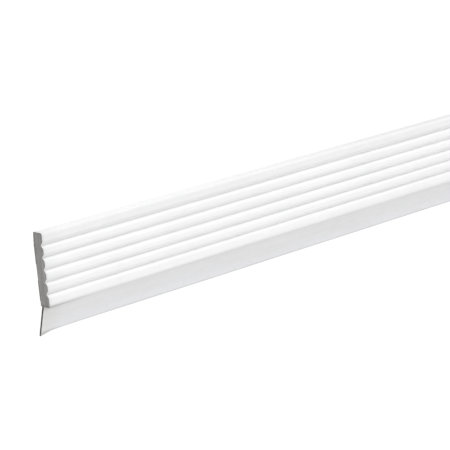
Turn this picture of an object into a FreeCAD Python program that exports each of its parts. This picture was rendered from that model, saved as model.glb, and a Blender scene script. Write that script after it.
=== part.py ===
import FreeCAD, Part
import math
import os

# Self-stick door sweep for a 36 in door: a rigid fluted strip with a soft fin hanging from its foot.
# Millimetres. +X runs along the strip, +Z is up, and +Y points at the door that the strip is stuck to.
# The origin is the centre of the flat back face, on the bare land between the two tapes.

# Carrier: the rigid strip. A slight chamfer takes the back away from the door at the top.
LENGTH = 914.4
CARRIER_DEPTH = 7.25
CAP_THICKNESS = 0.45
TOP_FRONT_RADIUS = 1.0
BOTTOM_FRONT_RADIUS = 0.6
BOTTOM_BACK_RADIUS = 0.8
CHAMFER_DEPTH = 0.4
CHAMFER_HEIGHT = 4.2
CHAMFER_RADIUS = 0.6

# Beads on the front: a plain one at the top, equal ones between flutes, and one that makes the foot.
# The foot's front turns in as far as a shoulder does, and then round a tighter corner.
TOP_BEAD_HEIGHT = 6.2
BEAD_PITCH = 6.0
FOOT_BEAD_HEIGHT = 6.75
FOOT_TURN = 45.0
FLUTES = 5
FLUTE_DEPTH = 1.5
FLANK_ANGLE = 50.0
SHOULDER_RADIUS = 2.2
VALLEY_RADIUS = 0.6

# Fin: a hooked root in the carrier's foot, and a tapered blade that leans back under the door
FIN_DROP = 13.85
FIN_LEAN = 18.5
FIN_ROOT_Y = -1.6
FIN_ROOT_THICKNESS = 1.3
FIN_TIP_THICKNESS = 1.1
HINGE_GAP = 0.15
NECK_HEIGHT = 1.0
HOOK_REACH = 1.5
HOOK_RAMP = 0.5
HOOK_HEIGHT = 0.6

# Tapes in channels in the back, each with a release liner of its own width
TAPE_WIDTH = 10.0
TAPE_THICKNESS = 0.8
CHANNEL_DEPTH = 0.7
TAPE_SPACING = 18.0
LINER_THICKNESS = 0.15

CARRIER_HEIGHT = TOP_BEAD_HEIGHT + (FLUTES - 1) * BEAD_PITCH + FOOT_BEAD_HEIGHT
BACK_FACE_HEIGHT = CARRIER_HEIGHT - CHAMFER_HEIGHT - BOTTOM_BACK_RADIUS
TOP_Z = BACK_FACE_HEIGHT / 2 + CHAMFER_HEIGHT
BOTTOM_Z = TOP_Z - CARRIER_HEIGHT
FIN_FRONT_Y = FIN_ROOT_Y - FIN_ROOT_THICKNESS / 2


class Tracer:
    """Draws tangent lines and arcs in the YZ plane at the strip's first end, with the solid on the left.

    inset moves the whole outline into the solid: outer corners get tighter and inner ones get wider.
    """

    def __init__(self, y, z, heading, inset):
        self.inset = inset
        self.heading = math.radians(heading)
        side_y, side_z = self.left(self.heading)
        self.y = y + inset * side_y
        self.z = z + inset * side_z
        self.edges = []

    @staticmethod
    def left(heading):
        return -math.sin(heading), math.cos(heading)

    def line(self, length):
        start = section_point(self.y, self.z)
        self.y += length * math.cos(self.heading)
        self.z += length * math.sin(self.heading)
        self.edges.append(Part.LineSegment(start, section_point(self.y, self.z)).toShape())

    def arc(self, radius, turn):
        """Turns left by turn degrees, or right where it is negative."""
        sign = math.copysign(1, turn)
        offset = sign * (radius - sign * self.inset)
        side_y, side_z = self.left(self.heading)
        centre_y = self.y + offset * side_y
        centre_z = self.z + offset * side_z
        points = [section_point(self.y, self.z)]
        for share in (0.5, 1.0):
            side_y, side_z = self.left(self.heading + share * math.radians(turn))
            self.y = centre_y - offset * side_y
            self.z = centre_z - offset * side_z
            points.append(section_point(self.y, self.z))
        self.heading += math.radians(turn)
        self.edges.append(Part.Arc(*points).toShape())

    def end(self):
        return section_point(self.y, self.z)


def section_point(y, z):
    return FreeCAD.Vector(-LENGTH / 2, y, z)


def extrude(edges):
    """Sweeps a closed section along the whole strip."""
    wire = Part.Wire(Part.__sortEdges__(edges))
    return Part.Face(wire).extrude(FreeCAD.Vector(LENGTH, 0, 0))


def prism(points):
    corners = [section_point(y, z) for y, z in points]
    return extrude(Part.makePolygon(corners + corners[:1]).Edges)


def strip(width, centre_z, y_inner, y_outer):
    low = centre_z - width / 2
    high = centre_z + width / 2
    return prism([(y_inner, low), (y_outer, low), (y_outer, high), (y_inner, high)])


def flute_sizes():
    """Half a flute's height, and the length of its straight flank."""
    angle = math.radians(FLANK_ANGLE)
    radii = SHOULDER_RADIUS + VALLEY_RADIUS
    flank = (FLUTE_DEPTH - radii * (1 - math.cos(angle))) / math.sin(angle)
    half_height = radii * math.sin(angle) + flank * math.cos(angle)
    return half_height, flank


def foot_corner():
    """Depth and height that the foot's shoulder and its tighter corner take up together."""
    turn = math.radians(FOOT_TURN)
    depth = SHOULDER_RADIUS * (1 - math.cos(turn)) + BOTTOM_FRONT_RADIUS * math.cos(turn)
    drop = SHOULDER_RADIUS * math.sin(turn) + BOTTOM_FRONT_RADIUS * (1 - math.sin(turn))
    return depth, drop


def capped_outline(inset):
    """The outside that the cap covers, from the chamfer's foot over the top and the beads to the fin."""
    half_flute, flank = flute_sizes()
    chamfer_angle = math.degrees(math.atan2(CHAMFER_DEPTH, CHAMFER_HEIGHT))
    chamfer_turn = 90 - chamfer_angle
    trim = CHAMFER_RADIUS * math.tan(math.radians(chamfer_turn / 2))
    path = Tracer(0, TOP_Z - CHAMFER_HEIGHT, 90 + chamfer_angle, inset)
    start = path.end()
    path.line(math.hypot(CHAMFER_DEPTH, CHAMFER_HEIGHT) - trim)
    path.arc(CHAMFER_RADIUS, chamfer_turn)
    path.line(CARRIER_DEPTH - CHAMFER_DEPTH - trim - TOP_FRONT_RADIUS)
    path.arc(TOP_FRONT_RADIUS, 90)
    path.line(TOP_BEAD_HEIGHT - TOP_FRONT_RADIUS - half_flute)
    foot_depth, foot_drop = foot_corner()
    crests = [BEAD_PITCH - 2 * half_flute] * (FLUTES - 1)
    crests.append(FOOT_BEAD_HEIGHT - half_flute - foot_drop)
    for crest in crests:
        path.arc(SHOULDER_RADIUS, FLANK_ANGLE)
        path.line(flank)
        path.arc(VALLEY_RADIUS, -2 * FLANK_ANGLE)
        path.line(flank)
        path.arc(SHOULDER_RADIUS, FLANK_ANGLE)
        path.line(crest)
    path.arc(SHOULDER_RADIUS, FOOT_TURN)
    path.arc(BOTTOM_FRONT_RADIUS, 90 - FOOT_TURN)
    path.line(CARRIER_DEPTH - foot_depth + FIN_FRONT_Y)
    return path.edges, start, path.end()


def bare_foot():
    """The outside behind the cap's lower end, from the fin's front to the back's lower corner."""
    path = Tracer(FIN_FRONT_Y, BOTTOM_Z, 0, 0)
    path.line(-FIN_FRONT_Y - BOTTOM_BACK_RADIUS)
    path.arc(BOTTOM_BACK_RADIUS, 90)
    return path.edges, path.end()


def segment(start, end):
    return Part.LineSegment(start, end).toShape()


def hooked_root():
    """The fin's root: a neck that rises from the foot, with a hook towards the front that locks it in."""
    back = FIN_ROOT_Y + FIN_ROOT_THICKNESS / 2
    hook_y = FIN_FRONT_Y - HOOK_REACH
    neck_z = BOTTOM_Z + NECK_HEIGHT
    hook_z = neck_z + HOOK_RAMP
    top_z = hook_z + HOOK_HEIGHT
    return prism([
        (back, BOTTOM_Z),
        (back, top_z),
        (hook_y, top_z),
        (hook_y, hook_z),
        (FIN_FRONT_Y, neck_z),
        (FIN_FRONT_Y, BOTTOM_Z),
    ])


def tapered_blade():
    """The fin below the carrier: a round crown about the hinge axis, flat flanks, and a round tip."""
    lean = math.radians(FIN_LEAN)
    crown = FIN_ROOT_THICKNESS / 2
    tip = FIN_TIP_THICKNESS / 2
    axis_drop = HINGE_GAP + crown
    reach = (FIN_DROP - axis_drop - tip) / math.cos(lean)
    taper = math.degrees(math.asin((crown - tip) / reach))
    flank = reach * math.cos(math.radians(taper))
    axis_y = FIN_ROOT_Y + axis_drop * math.tan(lean)
    axis_z = BOTTOM_Z - axis_drop
    heading = -90 + FIN_LEAN + taper
    side_y, side_z = Tracer.left(math.radians(heading))
    path = Tracer(axis_y - crown * side_y, axis_z - crown * side_z, heading, 0)
    path.line(flank)
    path.arc(tip, 180 - 2 * taper)
    path.line(flank)
    path.arc(crown, 180 + 2 * taper)
    return extrude(path.edges)


def carrier(channels, root):
    """The white cap, and the core behind it, cut out for the tapes and the fin's root."""
    outer, back_top, foot_outer = capped_outline(0)
    inner, core_top, foot_inner = capped_outline(CAP_THICKNESS)
    foot, back_bottom = bare_foot()
    seams = [segment(back_top, core_top), segment(foot_outer, foot_inner)]
    cap = extrude(outer + inner + seams)
    core = extrude(inner + seams + foot + [segment(back_bottom, back_top)])
    for hollow in channels + [root]:
        core = core.cut(hollow)
    return core, cap


def save(node, shape):
    solids = shape.Solids
    assert len(solids) == 1 and solids[0].isValid() and solids[0].isClosed(), node
    solids[0].exportStep("parts/" + node + ".step")


def build():
    os.makedirs("parts", exist_ok=True)
    tape_face = TAPE_THICKNESS - CHANNEL_DEPTH
    channels = []
    for name, side in (("upper", 1), ("lower", -1)):
        centre_z = side * TAPE_SPACING / 2
        channels.append(strip(TAPE_WIDTH, centre_z, -CHANNEL_DEPTH, 0))
        save(name + "_tape", strip(TAPE_WIDTH, centre_z, -CHANNEL_DEPTH, tape_face))
        save(name + "_liner", strip(TAPE_WIDTH, centre_z, tape_face, tape_face + LINER_THICKNESS))
    root = hooked_root()
    core, cap = carrier(channels, root)
    save("carrier_core", core)
    save("carrier_cap", cap)
    save("fin_anchor", root)
    save("fin_blade", tapered_blade())


build()
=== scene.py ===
import math
import random

import bmesh
import bpy
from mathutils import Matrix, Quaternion, Vector, geometry


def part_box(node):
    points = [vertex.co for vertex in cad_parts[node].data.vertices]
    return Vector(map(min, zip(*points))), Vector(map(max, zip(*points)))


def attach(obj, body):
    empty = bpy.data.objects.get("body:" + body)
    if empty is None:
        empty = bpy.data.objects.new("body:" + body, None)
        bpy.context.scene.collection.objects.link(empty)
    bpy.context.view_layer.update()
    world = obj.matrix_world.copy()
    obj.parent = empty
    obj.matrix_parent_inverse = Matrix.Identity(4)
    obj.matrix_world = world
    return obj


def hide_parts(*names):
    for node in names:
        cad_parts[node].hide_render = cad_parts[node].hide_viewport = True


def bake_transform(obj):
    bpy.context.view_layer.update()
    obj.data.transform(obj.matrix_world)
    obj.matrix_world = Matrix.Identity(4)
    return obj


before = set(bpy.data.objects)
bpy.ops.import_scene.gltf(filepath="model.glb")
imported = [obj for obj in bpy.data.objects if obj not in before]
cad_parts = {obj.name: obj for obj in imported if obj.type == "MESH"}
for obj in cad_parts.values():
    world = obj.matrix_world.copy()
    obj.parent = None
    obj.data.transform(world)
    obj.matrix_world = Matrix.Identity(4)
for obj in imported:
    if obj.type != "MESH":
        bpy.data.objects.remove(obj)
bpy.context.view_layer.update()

# Metres and degrees, in the row frame: +X along the strip, +Y towards the door, +Z up.

# The section's own sizes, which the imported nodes' boxes don't give
CAP_THICKNESS = 0.00045
TOP_FRONT_RADIUS = 0.0010
BOTTOM_FRONT_RADIUS = 0.0006
BOTTOM_BACK_RADIUS = 0.0008
FOOT_TURN = 45.0
CHAMFER_DEPTH = 0.0004
CHAMFER_HEIGHT = 0.0042
CHAMFER_RADIUS = 0.0006
TOP_BEAD_HEIGHT = 0.0062
BEAD_PITCH = 0.0060
FLUTES = 5
FLUTE_DEPTH = 0.0015
FLANK_ANGLE = 50.0
SHOULDER_RADIUS = 0.0022
VALLEY_RADIUS = 0.0006
FIN_LEAN = 18.5
FIN_ROOT_THICKNESS = 0.0013
FIN_TIP_THICKNESS = 0.0011
NECK_HEIGHT = 0.0010
HOOK_RAMP = 0.0005

# Details finer than the CAD model has: sawn ends
CUT_ROUND = 0.00012        # the worn edge of a sawn end
CORE_CELL = 0.00036        # points on the core's sawn face, and how far they stand in or out
CORE_RELIEF = 0.00004
SOFT_CELL = 0.00045
SOFT_RELIEF = 0.00002
JITTER = 0.3               # how far those points stray from their grid, in cells
RIM_MARGIN = 0.35          # and how near the outline they may come
CORE_SEEDS = (11, 12)      # for the two ends of each piece
FIN_SEEDS = (21, 22)
TAPE_SEEDS = (41, 42)

# Along the strip
RIGID_STEP = 0.0500        # stations along a piece that stays straight
SOFT_STEP = 0.0060         # and along one that wanders
FIN_WAVES = ((0.00010, 23.0, 0.0), (0.00006, 61.0, 1.0))
SLIT_WAVES = ((0.00012, 37.0, 0.0), (0.00006, 131.0, 0.7))

# The soft fin
END_DROOP = 0.0017         # how far its corner hangs below the rest, and over what length
DROOP_LENGTH = 0.0037
FIN_ROWS = 14              # rows of points down each side
TURN_ROWS = 2.5            # and the first of them, where the sides turn from the foot's line to square
FIRST_TURN = 0.35
TIP_STEPS = 8

# Tapes and liners
TAPE_ROUND = 0.00008       # the slit edge's rounding, its width, and how ragged it is
TAPE_SLIT = 0.00010
TAPE_RAGGED = 0.00009
TAPE_SLIT_SEEDS = {"lower": 31, "upper": 32}
LINER_COLUMNS = 12
CURL_LENGTH = 0.016        # the liners' far corners are lifted, ready for a thumbnail
CURL_LIFT = 0.0028

# Painted shade and shadow near the cut ends and the foot, and darker bands of the sawn foam
END_SHADE_LENGTH = 0.012            # length at each end where painted shade greys the white
CORNER_SHADOW_LENGTH = 0.026              # and where a painted shadow darkens the corner between foot and fin
SHADOW_ON_FOOT = 0.0016      # how far that painted shadow reaches up the foot, and down the fin
SHADOW_ON_FIN = 0.0028
FOOT_SHADE_HEIGHT = 0.0028         # height above the foot's underside over which painted shade darkens the white skin
FOOT_DARK_HEIGHT = 0.0016        # height of the darker band at the sawn foot
TOP_STAIN = 0.0085         # depth of the fainter one at the sawn top, and where it has faded out
TOP_STAIN_END = 0.0130

# Material slots of the pieces' own faces, past their first
CUT_SLOT = 1
ROOT_CUT_SLOT = 2
TACK_SLOT = 1

CAP_LOW, CAP_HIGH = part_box("carrier_cap")
CORE_LOW, CORE_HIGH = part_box("carrier_core")
ROOT_LOW, ROOT_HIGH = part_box("fin_anchor")
BLADE_LOW, BLADE_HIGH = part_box("fin_blade")
NEAR_X, FAR_X = CAP_LOW.x, CAP_HIGH.x
FRONT_Y, TOP_Z, FOOT_Z = CAP_LOW.y, CAP_HIGH.z, CAP_LOW.z
BACK_Y = CORE_HIGH.y
FIN_BACK_Y = ROOT_HIGH.y
FIN_FRONT_Y = FIN_BACK_Y - FIN_ROOT_THICKNESS


# ---- Section ----

class Path:
    """Points along tangent lines and arcs in the YZ plane, with the solid on the left.

    inset moves the whole line into the solid, so outer corners get tighter and inner ones wider.
    """

    ARC_STEP = 7.0

    def __init__(self, y, z, heading, inset=0.0):
        self.inset = inset
        self.heading = math.radians(heading)
        side_y, side_z = self.left(self.heading)
        self.y = y + inset * side_y
        self.z = z + inset * side_z
        self.points = [(self.y, self.z)]

    @staticmethod
    def left(heading):
        return -math.sin(heading), math.cos(heading)

    def line(self, length):
        self.y += length * math.cos(self.heading)
        self.z += length * math.sin(self.heading)
        self.points.append((self.y, self.z))

    def arc(self, radius, turn):
        """Turns left by turn degrees, or right where it is negative."""
        sign = math.copysign(1, turn)
        offset = sign * (radius - sign * self.inset)
        side_y, side_z = self.left(self.heading)
        centre_y = self.y + offset * side_y
        centre_z = self.z + offset * side_z
        steps = math.ceil(abs(turn) / self.ARC_STEP)
        for step in range(1, steps + 1):
            side_y, side_z = self.left(self.heading + math.radians(turn * step / steps))
            self.points.append((centre_y - offset * side_y, centre_z - offset * side_z))
        self.y, self.z = self.points[-1]
        self.heading += math.radians(turn)


def capped_outline(inset):
    """The carrier's outside from the chamfer's foot, over the top and down the beads, to the fin."""
    angle = math.radians(FLANK_ANGLE)
    radii = SHOULDER_RADIUS + VALLEY_RADIUS
    flank = (FLUTE_DEPTH - radii * (1 - math.cos(angle))) / math.sin(angle)
    half_flute = radii * math.sin(angle) + flank * math.cos(angle)
    chamfer_angle = math.degrees(math.atan2(CHAMFER_DEPTH, CHAMFER_HEIGHT))
    chamfer_turn = 90 - chamfer_angle
    trim = CHAMFER_RADIUS * math.tan(math.radians(chamfer_turn / 2))
    foot_bead = (TOP_Z - FOOT_Z) - TOP_BEAD_HEIGHT - (FLUTES - 1) * BEAD_PITCH
    turn = math.radians(FOOT_TURN)
    foot_depth = SHOULDER_RADIUS * (1 - math.cos(turn)) + BOTTOM_FRONT_RADIUS * math.cos(turn)
    foot_drop = SHOULDER_RADIUS * math.sin(turn) + BOTTOM_FRONT_RADIUS * (1 - math.sin(turn))
    path = Path(BACK_Y, TOP_Z - CHAMFER_HEIGHT, 90 + chamfer_angle, inset)
    path.line(math.hypot(CHAMFER_DEPTH, CHAMFER_HEIGHT) - trim)
    path.arc(CHAMFER_RADIUS, chamfer_turn)
    path.line(BACK_Y - FRONT_Y - CHAMFER_DEPTH - trim - TOP_FRONT_RADIUS)
    path.arc(TOP_FRONT_RADIUS, 90)
    path.line(TOP_BEAD_HEIGHT - TOP_FRONT_RADIUS - half_flute)
    crests = [BEAD_PITCH - 2 * half_flute] * (FLUTES - 1)
    crests.append(foot_bead - half_flute - foot_drop)
    for crest in crests:
        path.arc(SHOULDER_RADIUS, FLANK_ANGLE)
        path.line(flank)
        path.arc(VALLEY_RADIUS, -2 * FLANK_ANGLE)
        path.line(flank)
        path.arc(SHOULDER_RADIUS, FLANK_ANGLE)
        path.line(crest)
    path.arc(SHOULDER_RADIUS, FOOT_TURN)
    path.arc(BOTTOM_FRONT_RADIUS, 90 - FOOT_TURN)
    path.line(FIN_FRONT_Y - FRONT_Y - foot_depth)
    return path.points


def stations(step):
    """Places along the strip, with the pair at each end that its worn edge needs."""
    inner_near, inner_far = NEAR_X + CUT_ROUND, FAR_X - CUT_ROUND
    part_way = CUT_ROUND * 0.3
    count = math.ceil((inner_far - inner_near) / step)
    places = [NEAR_X, NEAR_X + part_way]
    places += [inner_near + (inner_far - inner_near) * i / count for i in range(count + 1)]
    return places + [FAR_X - part_way, FAR_X]


def end_distance(x):
    return min(x - NEAR_X, FAR_X - x)


def wear(x):
    """How far the outline draws in at x, for the worn edge of a sawn end."""
    depth = max(0.0, CUT_ROUND - end_distance(x))
    return CUT_ROUND - math.sqrt(max(0.0, CUT_ROUND ** 2 - depth ** 2))


def waves(x, terms):
    """A slow wander along x: a sum of sines, each a height, a rate along x and a start."""
    return sum(height * math.sin(x * rate + start) for height, rate, start in terms)


# ---- Meshes ----

def new_object(name, bm, sharp_angle):
    """A smooth-shaded object whose edges over sharp_angle stay crisp."""
    bmesh.ops.recalc_face_normals(bm, faces=bm.faces)
    mesh = bpy.data.meshes.new(name)
    bm.to_mesh(mesh)
    bm.free()
    mesh.shade_smooth()
    mesh.set_sharp_from_angle(angle=math.radians(sharp_angle))
    obj = bpy.data.objects.new(name, mesh)
    bpy.context.scene.collection.objects.link(obj)
    return obj


def loft(bm, rings):
    """Quads between successive closed rings of points; returns the vertices ring by ring."""
    made = [[bm.verts.new(p) for p in ring] for ring in rings]
    for a, b in zip(made, made[1:]):
        for i in range(len(a)):
            j = (i + 1) % len(a)
            bm.faces.new((a[i], a[j], b[j], b[i]))
    return made


def sawn_end(bm, ring, spacing, relief, seed):
    """Closes a ring with a fine, slightly rough face, such as a saw leaves, and returns its faces."""
    rng = random.Random(seed)
    outline = [Vector((v.co.y, v.co.z)) for v in ring]
    x = ring[0].co.x
    low = Vector((min(p.x for p in outline), min(p.y for p in outline)))
    high = Vector((max(p.x for p in outline), max(p.y for p in outline)))
    inner = []
    for row in range(1, int((high.y - low.y) / spacing)):
        for column in range(1, int((high.x - low.x) / spacing) + 1):
            jitter = Vector((rng.uniform(-JITTER, JITTER), rng.uniform(-JITTER, JITTER)))
            p = low + spacing * (Vector((column, row)) + jitter)
            if clear_inside(p, outline, spacing * RIM_MARGIN):
                inner.append(p)
    loop = [(i, (i + 1) % len(outline)) for i in range(len(outline))]
    points, _, triangles = geometry.delaunay_2d_cdt(outline + inner, loop, [], 1, 1e-9)[:3]
    verts = list(ring)
    for p in points[len(outline):]:
        verts.append(bm.verts.new((x + rng.uniform(-relief, relief), p.x, p.y)))
    return [bm.faces.new([verts[i] for i in triangle]) for triangle in triangles]


def clear_inside(p, outline, margin):
    """True if p is inside the outline and at least margin from it."""
    inside = False
    for a, b in zip(outline, outline[1:] + outline[:1]):
        if (a.y > p.y) != (b.y > p.y):
            if p.x < (b.x - a.x) * (p.y - a.y) / (b.y - a.y) + a.x:
                inside = not inside
        run = b - a
        share = (p - a).dot(run) / max(run.length_squared, 1e-18)
        if (a + run * min(max(share, 0.0), 1.0) - p).length < margin:
            return False
    return inside


def paint(faces, slot):
    """Gives faces the piece's material in that slot."""
    for face in faces:
        face.material_index = slot


# ---- Pieces ----

def make_cap(skin, cut):
    """The white skin over the top, the beads and the foot, with its outer edges worn at the sawn ends."""
    bm = bmesh.new()
    inner = capped_outline(CAP_THICKNESS)
    rings = []
    for x in stations(RIGID_STEP):
        outer = capped_outline(wear(x))
        rings.append([(x, y, z) for y, z in outer + inner[::-1]])
    made = loft(bm, rings)
    count = len(inner)
    for ring in (made[0], made[-1]):
        quads = []
        for i in range(count - 1):
            j = 2 * count - 1 - i
            quads.append(bm.faces.new((ring[i], ring[i + 1], ring[j - 1], ring[j])))
        paint(quads, CUT_SLOT)
    cap = new_object("white_cap", bm, sharp_angle=35)
    dress(cap, "carrier", "white_cap", skin, cut)
    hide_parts("carrier_cap")


def core_outline():
    """The grey core: the cap's inside, the fin's groove, the bare foot, and the tapes' channels."""
    points = capped_outline(CAP_THICKNESS)
    hook_y, hook_top = ROOT_LOW.y, ROOT_HIGH.z
    points += [
        (FIN_FRONT_Y, FOOT_Z),
        (FIN_FRONT_Y, FOOT_Z + NECK_HEIGHT),
        (hook_y, FOOT_Z + NECK_HEIGHT + HOOK_RAMP),
        (hook_y, hook_top),
        (FIN_BACK_Y, hook_top),
        (FIN_BACK_Y, FOOT_Z),
    ]
    foot = Path(FIN_BACK_Y, FOOT_Z, 0)
    foot.line(BACK_Y - FIN_BACK_Y - BOTTOM_BACK_RADIUS)
    foot.arc(BOTTOM_BACK_RADIUS, 90)
    points += foot.points[1:]
    for tape in ("lower_tape", "upper_tape"):
        low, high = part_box(tape)
        points += [(BACK_Y, low.z), (low.y, low.z), (low.y, high.z), (BACK_Y, high.z)]
    points.append((BACK_Y, TOP_Z - CHAMFER_HEIGHT))
    return points


def make_core(side, cut):
    """The grey core, with rough faces where the saw went through."""
    bm = bmesh.new()
    outline = core_outline()
    made = loft(bm, [[(x, y, z) for y, z in outline] for x in stations(RIGID_STEP)])
    for ring, seed in zip((made[0], made[-1]), CORE_SEEDS):
        paint(sawn_end(bm, ring, CORE_CELL, CORE_RELIEF, seed), CUT_SLOT)
    core = new_object("foam_core", bm, sharp_angle=25)
    dress(core, "carrier", "foamed_core", side, cut)
    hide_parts("carrier_core")


def droop(x):
    """The soft fin hangs lower just at its cut corners."""
    return END_DROOP * math.exp(-end_distance(x) / DROOP_LENGTH)


def fin_outline(x):
    """The fin at x as one closed line: its back, its round tip, its front, and the hooked root.

    Its sides start level under the foot, and its free edge wanders a little from front to back.
    """
    lean = math.radians(FIN_LEAN)
    tip = FIN_TIP_THICKNESS / 2
    root = FIN_ROOT_THICKNESS / 2
    drop = FOOT_Z - BLADE_LOW.z + droop(x)
    start = Vector(((FIN_FRONT_Y + FIN_BACK_Y) / 2, FOOT_Z))
    down = Vector((math.sin(lean), -math.cos(lean)))
    across = Vector((math.cos(lean), math.sin(lean)))
    reach = (drop - tip) / math.cos(lean)
    sideways = waves(x, FIN_WAVES)
    back, front = [], []
    for row in range(FIN_ROWS + 1):
        share = row / FIN_ROWS
        turned = min(1.0, share * FIN_ROWS / TURN_ROWS)
        angle = lean * (FIRST_TURN + (1 - FIRST_TURN) * turned)
        centre = start + reach * share * down
        centre.x += sideways * share ** 2
        side = (root + (tip - root) * share) * Vector((math.cos(angle), math.sin(angle)))
        back.append(centre + side)
        front.append(centre - side)
    end = []
    for step in range(1, TIP_STEPS):
        turn = math.pi * step / TIP_STEPS
        end.append(centre + tip * (math.cos(turn) * across + math.sin(turn) * down))
    hook_y, hook_top = ROOT_LOW.y, ROOT_HIGH.z
    hook = [
        Vector((FIN_FRONT_Y, FOOT_Z + NECK_HEIGHT)),
        Vector((hook_y, FOOT_Z + NECK_HEIGHT + HOOK_RAMP)),
        Vector((hook_y, hook_top)),
        Vector((FIN_BACK_Y, hook_top)),
    ]
    return back + end + front[::-1] + hook


def make_fin(blade, cut, root_cut):
    """The whole fin in one piece, which leans back below its root. Its root's cut end is painted in the
    core's sawn grey, as shade.
    """
    bm = bmesh.new()
    made = loft(bm, [[(x, p.x, p.y) for p in fin_outline(x)] for x in stations(SOFT_STEP)])
    for ring, seed in zip((made[0], made[-1]), FIN_SEEDS):
        faces = sawn_end(bm, ring, SOFT_CELL, SOFT_RELIEF, seed)
        paint(faces, CUT_SLOT)
        # painted shade: the root's cut faces take the core's sawn grey
        paint([face for face in faces if face.calc_center_median().z > FOOT_Z], ROOT_CUT_SLOT)
    keep_places(bm)
    fin = new_object("soft_fin", bm, sharp_angle=40)
    for material in (blade, cut, root_cut):
        fin.data.materials.append(material)
    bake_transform(fin)
    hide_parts("fin_anchor", "fin_blade")


def keep_places(bm):
    """Writes each point's x and z into a UV map, so that a pattern stays put as the fin bends.

    They are in metres, and z is counted from the foot's underside.
    """
    layer = bm.loops.layers.uv.new("strip")
    for face in bm.faces:
        for corner in face.loops:
            corner[layer].uv = (corner.vert.co.x, corner.vert.co.z - FOOT_Z)


def make_tape(side, foam, tack):
    """A strip of foam tape in its channel. Its face towards the door is the tacky one."""
    low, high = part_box(side + "_tape")
    bm = bmesh.new()
    rng = random.Random(TAPE_SLIT_SEEDS[side])
    rings = []
    for x in stations(SOFT_STEP):
        ragged = [rng.uniform(0.0, TAPE_RAGGED) for _ in range(2)]
        rings.append([
            (x, low.y, low.z),
            (x, high.y - TAPE_ROUND, low.z),
            (x, high.y, low.z + TAPE_SLIT + ragged[0]),
            (x, high.y, high.z - TAPE_SLIT - ragged[1]),
            (x, high.y - TAPE_ROUND, high.z),
            (x, low.y, high.z),
        ])
    made = loft(bm, rings)
    tacky = high.y - TAPE_ROUND / 4
    paint([face for face in bm.faces if face.calc_center_median().y > tacky], TACK_SLOT)
    for ring, seed in zip((made[0], made[-1]), TAPE_SEEDS):
        sawn_end(bm, ring, SOFT_CELL, SOFT_RELIEF, seed)
    tape = new_object(side + "_foam_tape", bm, sharp_angle=30)
    dress(tape, "carrier", "foam_tape", foam, tack)
    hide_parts(side + "_tape")


def curl(x, from_edge):
    """How far a liner stands off its tape at x, and at from_edge in from its outer edge."""
    reach = CURL_LENGTH - (FAR_X - x) - from_edge
    return CURL_LIFT * max(0.0, reach / CURL_LENGTH) ** 2


def make_liner(side, paper):
    """Release paper with hand-slit edges, and its outer far corner lifted."""
    low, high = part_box(side + "_liner")
    outer_z = high.z if side == "upper" else low.z
    bm = bmesh.new()
    rings = []
    for x in stations(SOFT_STEP / 2):
        slit = waves(x, SLIT_WAVES)
        under, over = [], []
        for column in range(LINER_COLUMNS + 1):
            z = low.z + (high.z - low.z) * column / LINER_COLUMNS
            lift = curl(x, abs(z - outer_z))
            z += slit * (0.5 - column / LINER_COLUMNS)
            under.append((x, low.y + lift, z))
            over.append((x, high.y + lift, z))
        rings.append(under + over[::-1])
    made = loft(bm, rings)
    last = 2 * LINER_COLUMNS + 1
    for ring in (made[0], made[-1]):
        for i in range(LINER_COLUMNS):
            bm.faces.new((ring[i], ring[i + 1], ring[last - i - 1], ring[last - i]))
    liner = new_object(side + "_liner_paper", bm, sharp_angle=50)
    dress(liner, side + "_liner", "release_liner", paper)
    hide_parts(side + "_liner")


def dress(piece, body, slot, *materials):
    """Gives a piece its materials and its body. The slot it is given is not used."""
    for material in materials:
        piece.data.materials.append(material)
    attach(piece, body)


# ---- Materials ----

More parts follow.
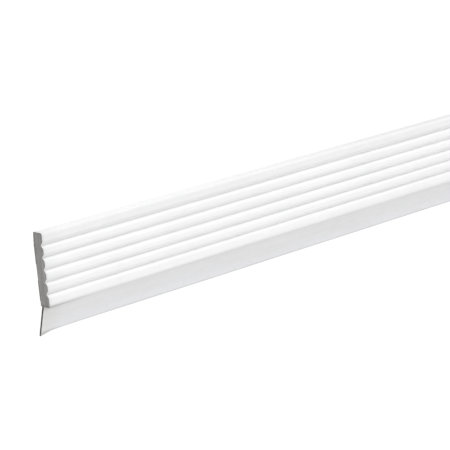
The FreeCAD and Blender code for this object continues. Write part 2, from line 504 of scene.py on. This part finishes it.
class Surface:
    """A procedural material whose patterns are fields in the piece's own metres.

    place is Object, or UV on a piece whose places are kept in its UV map.
    """

    def __init__(self, name, specular, place="Object"):
        self.material = bpy.data.materials.new(name)
        self.material.use_nodes = True
        self.tree = self.material.node_tree
        self.shader = self.tree.nodes["Principled BSDF"]
        self.shader.inputs["Specular IOR Level"].default_value = specular
        self.place = self.tree.nodes.new("ShaderNodeTexCoord").outputs[place]
        self.up = "Y" if place == "UV" else "Z"
        self.normal = None

    def add(self, kind, **links):
        """A new node, with each named input linked to a socket or set to a value."""
        node = self.tree.nodes.new("ShaderNode" + kind)
        for name, value in links.items():
            socket = node.inputs[name.replace("_", " ")]
            if isinstance(value, bpy.types.NodeSocket):
                self.tree.links.new(value, socket)
            else:
                socket.default_value = value
        return node

    def stretched(self, stretch):
        return self.add("Mapping", Vector=self.place, Scale=stretch).outputs["Vector"]

    def cloud(self, size, stretch=(1, 1, 1), detail=3.0):
        """Noise with features of about that size, drawn out by a stretch below 1 on an axis."""
        node = self.add("TexNoise", Vector=self.stretched(stretch), Scale=1 / size, Detail=detail)
        return node.outputs["Fac"]

    def cells(self, size, stretch=(1, 1, 1)):
        """Distance from the middle of round cells of about that size."""
        node = self.add("TexVoronoi", Vector=self.stretched(stretch), Scale=1 / size)
        return node.outputs["Distance"]

    def along(self, axis):
        return self.add("SeparateXYZ", Vector=self.place).outputs[axis]

    def maths(self, operation, *fields):
        node = self.add("Math")
        node.operation = operation
        for socket, field in zip(node.inputs, fields):
            self.tree.links.new(field, socket)
        return node.outputs["Value"]

    def span(self, field, low, high):
        """0 to 1 as a field goes from low to high, and flat past them."""
        return self.add("MapRange", Value=field, From_Min=low, From_Max=high).outputs["Result"]

    def height(self, low, high):
        """0 to 1 from one height of the section to another."""
        return self.span(self.along(self.up), low, high)

    def near_cut(self, length):
        """0 in the middle of the strip, rising to 1 over that length at either cut end."""
        return self.span(self.maths("ABSOLUTE", self.along("X")), FAR_X - length, FAR_X)

    def painted_foot_shadow(self, unshaded, corner, tone):
        """A painted shadow near a cut end where the foot meets the fin, none at the first height and all
        at the second.
        """
        shadow_mask = self.maths("MULTIPLY", self.near_cut(CORNER_SHADOW_LENGTH), self.height(unshaded, corner))
        return self.tones(shadow_mask, (0.0, grey(1.0)), (1.0, grey(tone)))

    def tones(self, field, *stops):
        """Colours along a field, as (place, colour) stops."""
        node = self.add("ValToRGB", Fac=field)
        ramp = node.color_ramp
        while len(ramp.elements) < len(stops):
            ramp.elements.new(0.5)
        for element, (place, colour) in zip(ramp.elements, stops):
            element.position = place
            element.color = (*colour, 1)
        return node.outputs["Color"]

    def multiply(self, a, b):
        """One colour times another."""
        node = self.tree.nodes.new("ShaderNodeMix")
        node.data_type = "RGBA"
        node.blend_type = "MULTIPLY"
        node.inputs["Factor"].default_value = 1.0
        self.tree.links.new(a, node.inputs["A"])
        self.tree.links.new(b, node.inputs["B"])
        return node.outputs["Result"]

    def colour(self, *sockets):
        """The product of the colours given."""
        result = sockets[0]
        for socket in sockets[1:]:
            result = self.multiply(result, socket)
        self.tree.links.new(result, self.shader.inputs["Base Color"])

    def gloss(self, field, low, high):
        """Roughness that goes from low to high with a field."""
        node = self.add("MapRange", Value=field, To_Min=low, To_Max=high)
        self.tree.links.new(node.outputs["Result"], self.shader.inputs["Roughness"])

    def relief(self, field, depth):
        """Adds a bump of that depth to those before it."""
        node = self.add("Bump", Height=field, Distance=depth)
        if self.normal:
            self.tree.links.new(self.normal, node.inputs["Normal"])
        self.normal = node.outputs["Normal"]
        self.tree.links.new(self.normal, self.shader.inputs["Normal"])


def grey(value, warmth=0.0):
    """A neutral colour, or one leaning that far from blue to red."""
    return (value * (1 + warmth), value, value * (1 - warmth))


ALONG = (0.02, 1, 1)       # drawn out along the extrusion
SAWN = (1, 1, 0.15)        # drawn out up and down, as a saw's strokes are


def white_skin():
    """Satin white PVC, with the faint drawn lines of the die and a touch of orange peel.

    Painted shade darkens it round the foot's corner, and a painted shadow lies where the foot meets the
    fin near the cut ends. The top bead's front is a little greyer, and painted shade greys the ends.
    """
    s = Surface("white_pvc_satin", 0.2)
    lines = s.cloud(0.0011, ALONG, 4.0)
    s.colour(
        s.tones(lines, (0.30, grey(0.860)), (0.70, grey(0.895))),
        s.tones(s.cloud(0.030), (0.35, (0.985, 0.990, 0.985)), (0.65, (1, 1, 1))),
        s.tones(s.cloud(0.0035, (0.4, 1, 1)), (0.35, grey(0.980)), (0.65, grey(1.0))),
        # painted shade: the white darkens towards the foot's underside, where its rounded corner turns
        # down
        s.tones(s.height(FOOT_Z, FOOT_Z + FOOT_SHADE_HEIGHT), (0.10, grey(0.80)), (0.85, grey(1.0))),
        s.tones(
            s.height(TOP_Z - TOP_BEAD_HEIGHT, TOP_Z),
            (0.05, grey(1.0)),
            (0.20, grey(0.96)),
            (0.75, grey(0.96)),
            (0.95, grey(1.0)),
        ),
        # painted shade: the white greys towards each sawn end, darkest at the very cut
        s.tones(s.near_cut(END_SHADE_LENGTH), (0.0, grey(1.0)), (0.85, grey(0.96)), (1.0, grey(0.87))),
        # painted shadow: the foot's underside edge darkens where it meets the fin near the cut ends
        s.painted_foot_shadow(FOOT_Z + SHADOW_ON_FOOT, FOOT_Z, 0.58),
    )
    s.gloss(lines, 0.36, 0.50)
    s.relief(s.cloud(0.0005, ALONG, 2.0), 0.000012)
    s.relief(s.cloud(0.0013), 0.000010)
    return s.material


def cut_skin_shade():
    """The cap's cut edge, painted in shade darker than the core."""
    s = Surface("white_pvc_cut_shade", 0.1)
    # painted shade: the white skin's cut edge is coloured dark grey
    s.colour(s.tones(s.cloud(0.0004, SAWN), (0.35, grey(0.17, 0.02)), (0.70, grey(0.27, 0.02))))
    s.gloss(s.cloud(0.0010), 0.75, 0.90)
    s.relief(s.cloud(0.0003, SAWN), 0.00003)
    return s.material


def foam_side():
    """The core's bare grey back, smooth from the die, with drawn lines and a few open cells."""
    s = Surface("grey_foam_skin", 0.25)
    lines = s.cloud(0.0009, ALONG, 4.0)
    pits = s.cells(0.0016, (0.6, 1, 1))
    s.colour(
        s.tones(lines, (0.30, grey(0.29, 0.015)), (0.70, grey(0.36, 0.015))),
        s.tones(pits, (0.05, grey(0.70)), (0.10, grey(1.0))),
        s.tones(s.cloud(0.040), (0.35, grey(0.93)), (0.65, grey(1.0))),
    )
    s.gloss(lines, 0.55, 0.75)
    s.relief(lines, 0.00003)
    s.relief(s.tones(pits, (0.05, grey(0.0)), (0.12, grey(1.0))), 0.00008)
    return s.material


def foam_cut():
    """The sawn foam: fine open cells, streaked by the saw, darker towards its foot, and stained at its
    top.
    """
    s = Surface("grey_foam_sawn", 0.1)
    fine = s.cells(0.00055)
    s.colour(
        s.tones(s.cloud(0.0011, SAWN, 4.0), (0.30, grey(0.258, 0.028)), (0.70, grey(0.340, 0.028))),
        s.tones(s.cloud(0.0035, SAWN, 1.0), (0.36, grey(0.90)), (0.60, grey(1.05))),
        s.tones(
            s.height(TOP_Z - TOP_STAIN_END, TOP_Z - TOP_STAIN),
            (0.0, grey(1.04)),
            (1.0, grey(0.89)),
        ),
        s.tones(fine, (0.10, grey(0.72)), (0.40, grey(1.05))),
        s.tones(s.height(FOOT_Z, FOOT_Z + FOOT_DARK_HEIGHT), (0.20, grey(0.72)), (1.0, grey(1.0))),
    )
    s.gloss(fine, 0.80, 0.95)
    s.relief(fine, 0.00012)
    s.relief(s.cloud(0.0005, SAWN), 0.00006)
    return s.material


def soft_vinyl():
    """Matt white vinyl, faintly cool towards its tip, with a thin dark line along the very edge. Painted
    shade darkens it towards its root, towards the cut ends, and most just under the foot near them.
    """
    s = Surface("white_vinyl_soft", 0.2, "UV")
    lines = s.cloud(0.0012, ALONG, 4.0)
    drop = FOOT_Z - BLADE_LOW.z
    s.colour(
        s.tones(lines, (0.30, (0.849, 0.850, 0.857)), (0.70, (0.870, 0.871, 0.880))),
        # painted shade: the fin darkens from its tip up to its root under the foot; the cool tint near
        # the tip is its own colour
        s.tones(
            s.height(-drop, 0.0),
            (0.00, grey(0.73)),
            (0.085, (0.982, 0.984, 1.0)),
            (0.70, (0.96, 0.96, 0.957)),
            (1.00, (0.90, 0.90, 0.895)),
        ),
        # painted shade: the fin greys a little, slightly warm, towards each sawn end
        s.tones(s.near_cut(END_SHADE_LENGTH), (0.0, grey(1.0)), (1.0, (0.930, 0.925, 0.905))),
        # painted shadow of the foot on the fin just below it, near the cut ends
        s.painted_foot_shadow(-SHADOW_ON_FIN, 0.0, 0.66),
        s.tones(s.cloud(0.016, (0.5, 1, 1)), (0.35, (0.978, 0.976, 0.969)), (0.65, (1.0, 1.0, 1.0))),
        s.tones(s.cloud(0.0030, (0.5, 1, 1)), (0.35, grey(0.984)), (0.65, grey(1.008))),
    )
    s.gloss(lines, 0.50, 0.62)
    s.relief(s.cloud(0.0006, ALONG, 2.0), 0.00002)
    s.relief(s.cloud(0.0016), 0.00002)
    return s.material


def vinyl_cut_shade():
    """The fin's cut end, painted as a dark line of shade."""
    s = Surface("vinyl_sawn_shade", 0.1)
    # painted shade: the white vinyl's cut end is coloured near black
    s.colour(s.tones(s.cloud(0.0006, SAWN), (0.30, grey(0.060)), (0.70, grey(0.13))))
    s.gloss(s.cloud(0.0010), 0.70, 0.90)
    s.relief(s.cloud(0.0004), 0.00004)
    return s.material


def tape_foam():
    """Charcoal polyethylene foam, its slit sides all open cells."""
    s = Surface("tape_foam", 0.15)
    cells = s.cells(0.00040)
    s.colour(
        s.tones(cells, (0.10, grey(0.10)), (0.45, grey(0.24))),
        s.tones(s.cloud(0.012), (0.35, grey(0.90)), (0.65, grey(1.0))),
    )
    s.gloss(cells, 0.80, 0.95)
    s.relief(cells, 0.00015)
    return s.material


def tape_tack():
    """The tape's adhesive: glossier than the foam, and mottled by the liner that was on it."""
    s = Surface("tape_adhesive", 0.5)
    mottle = s.cloud(0.0022, (0.5, 1, 1))
    s.colour(s.tones(mottle, (0.30, grey(0.17)), (0.70, grey(0.23))))
    s.gloss(mottle, 0.16, 0.34)
    s.relief(mottle, 0.00008)
    s.relief(s.cells(0.0006), 0.00002)
    return s.material


def liner_paper():
    """Waxed kraft release paper, with fibres both ways and a faint mottle."""
    s = Surface("waxed_paper", 0.4)
    fibres = s.cloud(0.00030, (0.12, 1, 1), 5.0)
    cross = s.cloud(0.00030, (1, 1, 0.15), 4.0)
    s.colour(
        s.tones(fibres, (0.25, (0.66, 0.56, 0.40)), (0.75, (0.78, 0.69, 0.53))),
        s.tones(cross, (0.25, grey(0.93)), (0.75, grey(1.0))),
        s.tones(s.cloud(0.018), (0.35, (0.94, 0.93, 0.91)), (0.65, (1, 1, 1))),
    )
    s.gloss(cross, 0.30, 0.44)
    s.relief(fibres, 0.00003)
    s.relief(s.cloud(0.010), 0.00020)
    return s.material


def make_pieces():
    """Every piece of the object, in place of its CAD nodes."""
    sawn_foam = foam_cut()
    foam, tack, paper = tape_foam(), tape_tack(), liner_paper()
    make_cap(white_skin(), cut_skin_shade())
    make_core(foam_side(), sawn_foam)
    make_fin(soft_vinyl(), vinyl_cut_shade(), sawn_foam)
    for side in ("upper", "lower"):
        make_tape(side, foam, tack)
        make_liner(side, paper)


# ---- Stage ----

# The camera looks at a point near the strip's near end, from the front and that end and a little above
CAMERA_AZIMUTH = -40.32
CAMERA_ELEVATION = 13.84
CAMERA_ROLL = -5.33
CAMERA_LENS = 164.84
CAMERA_DISTANCE = 1.0426
AIM_FROM_END = 0.1130
AIM_Y = -0.0071
AIM_BELOW_TOP = 0.0223

FLOOR_GAP = 0.0001         # between the fin's drooping corners and the floor
FLOOR_RADIUS = 8.0
FLOOR_ALBEDO = 0.10
FLOOR_GLOW = 0.965

WORLD_STRENGTH = 0.542
KEY_POWER = 28.0
KEY_PLACE = (-0.60, -1.05, 1.95)
KEY_SIZE = 0.9
RIM_POWER = 6.0
RIM_PLACE = (0.45, 1.70, 0.62)
RIM_SIZE = 1.4


def make_camera():
    """A camera at that azimuth, where 0 looks along +Y, and that elevation, rolled about its own axis."""
    azimuth, elevation = math.radians(CAMERA_AZIMUTH), math.radians(CAMERA_ELEVATION)
    back = Vector((
        math.sin(azimuth) * math.cos(elevation),
        -math.cos(azimuth) * math.cos(elevation),
        math.sin(elevation),
    ))
    aim = Vector((NEAR_X + AIM_FROM_END, AIM_Y, TOP_Z - AIM_BELOW_TOP))
    data = bpy.data.cameras.new("camera")
    data.lens = CAMERA_LENS
    camera = bpy.data.objects.new("camera", data)
    bpy.context.scene.collection.objects.link(camera)
    camera.location = aim + back * CAMERA_DISTANCE
    camera.rotation_mode = "QUATERNION"
    roll = Quaternion((0, 0, 1), math.radians(CAMERA_ROLL))
    camera.rotation_quaternion = (-back).to_track_quat("-Z", "Y") @ roll
    bpy.context.scene.camera = camera


def make_floor():
    """A pale studio sweep lit from below, so that it stays white with hardly a shadow."""
    bm = bmesh.new()
    bmesh.ops.create_circle(bm, cap_ends=True, radius=FLOOR_RADIUS, segments=64)
    floor = new_object("floor", bm, 30)
    floor.location = (0, 0, BLADE_LOW.z - END_DROOP - FLOOR_GAP)
    material = bpy.data.materials.new("floor_white")
    material.use_nodes = True
    shader = material.node_tree.nodes["Principled BSDF"]
    shader.inputs["Base Color"].default_value = (*grey(FLOOR_ALBEDO), 1)
    shader.inputs["Roughness"].default_value = 1.0
    shader.inputs["Specular IOR Level"].default_value = 0.0
    shader.inputs["Emission Color"].default_value = (1, 1, 1, 1)
    shader.inputs["Emission Strength"].default_value = FLOOR_GLOW
    floor.data.materials.append(material)


def softbox(name, place, size, power):
    """A square area light that faces the middle of the strip."""
    data = bpy.data.lights.new(name, "AREA")
    data.shape = "SQUARE"
    data.size = size
    data.energy = power
    lamp = bpy.data.objects.new(name, data)
    bpy.context.scene.collection.objects.link(lamp)
    lamp.location = place
    lamp.rotation_mode = "QUATERNION"
    lamp.rotation_quaternion = (-Vector(place)).to_track_quat("-Z", "Y")


def make_lights():
    world = bpy.data.worlds.new("studio")
    bpy.context.scene.world = world
    world.use_nodes = True
    background = world.node_tree.nodes["Background"]
    background.inputs["Color"].default_value = (1, 1, 1, 1)
    background.inputs["Strength"].default_value = WORLD_STRENGTH
    softbox("key", KEY_PLACE, KEY_SIZE, KEY_POWER)
    softbox("rim", RIM_PLACE, RIM_SIZE, RIM_POWER)
    bpy.context.scene.view_settings.view_transform = "Standard"


make_camera()
make_floor()
make_lights()
make_pieces()
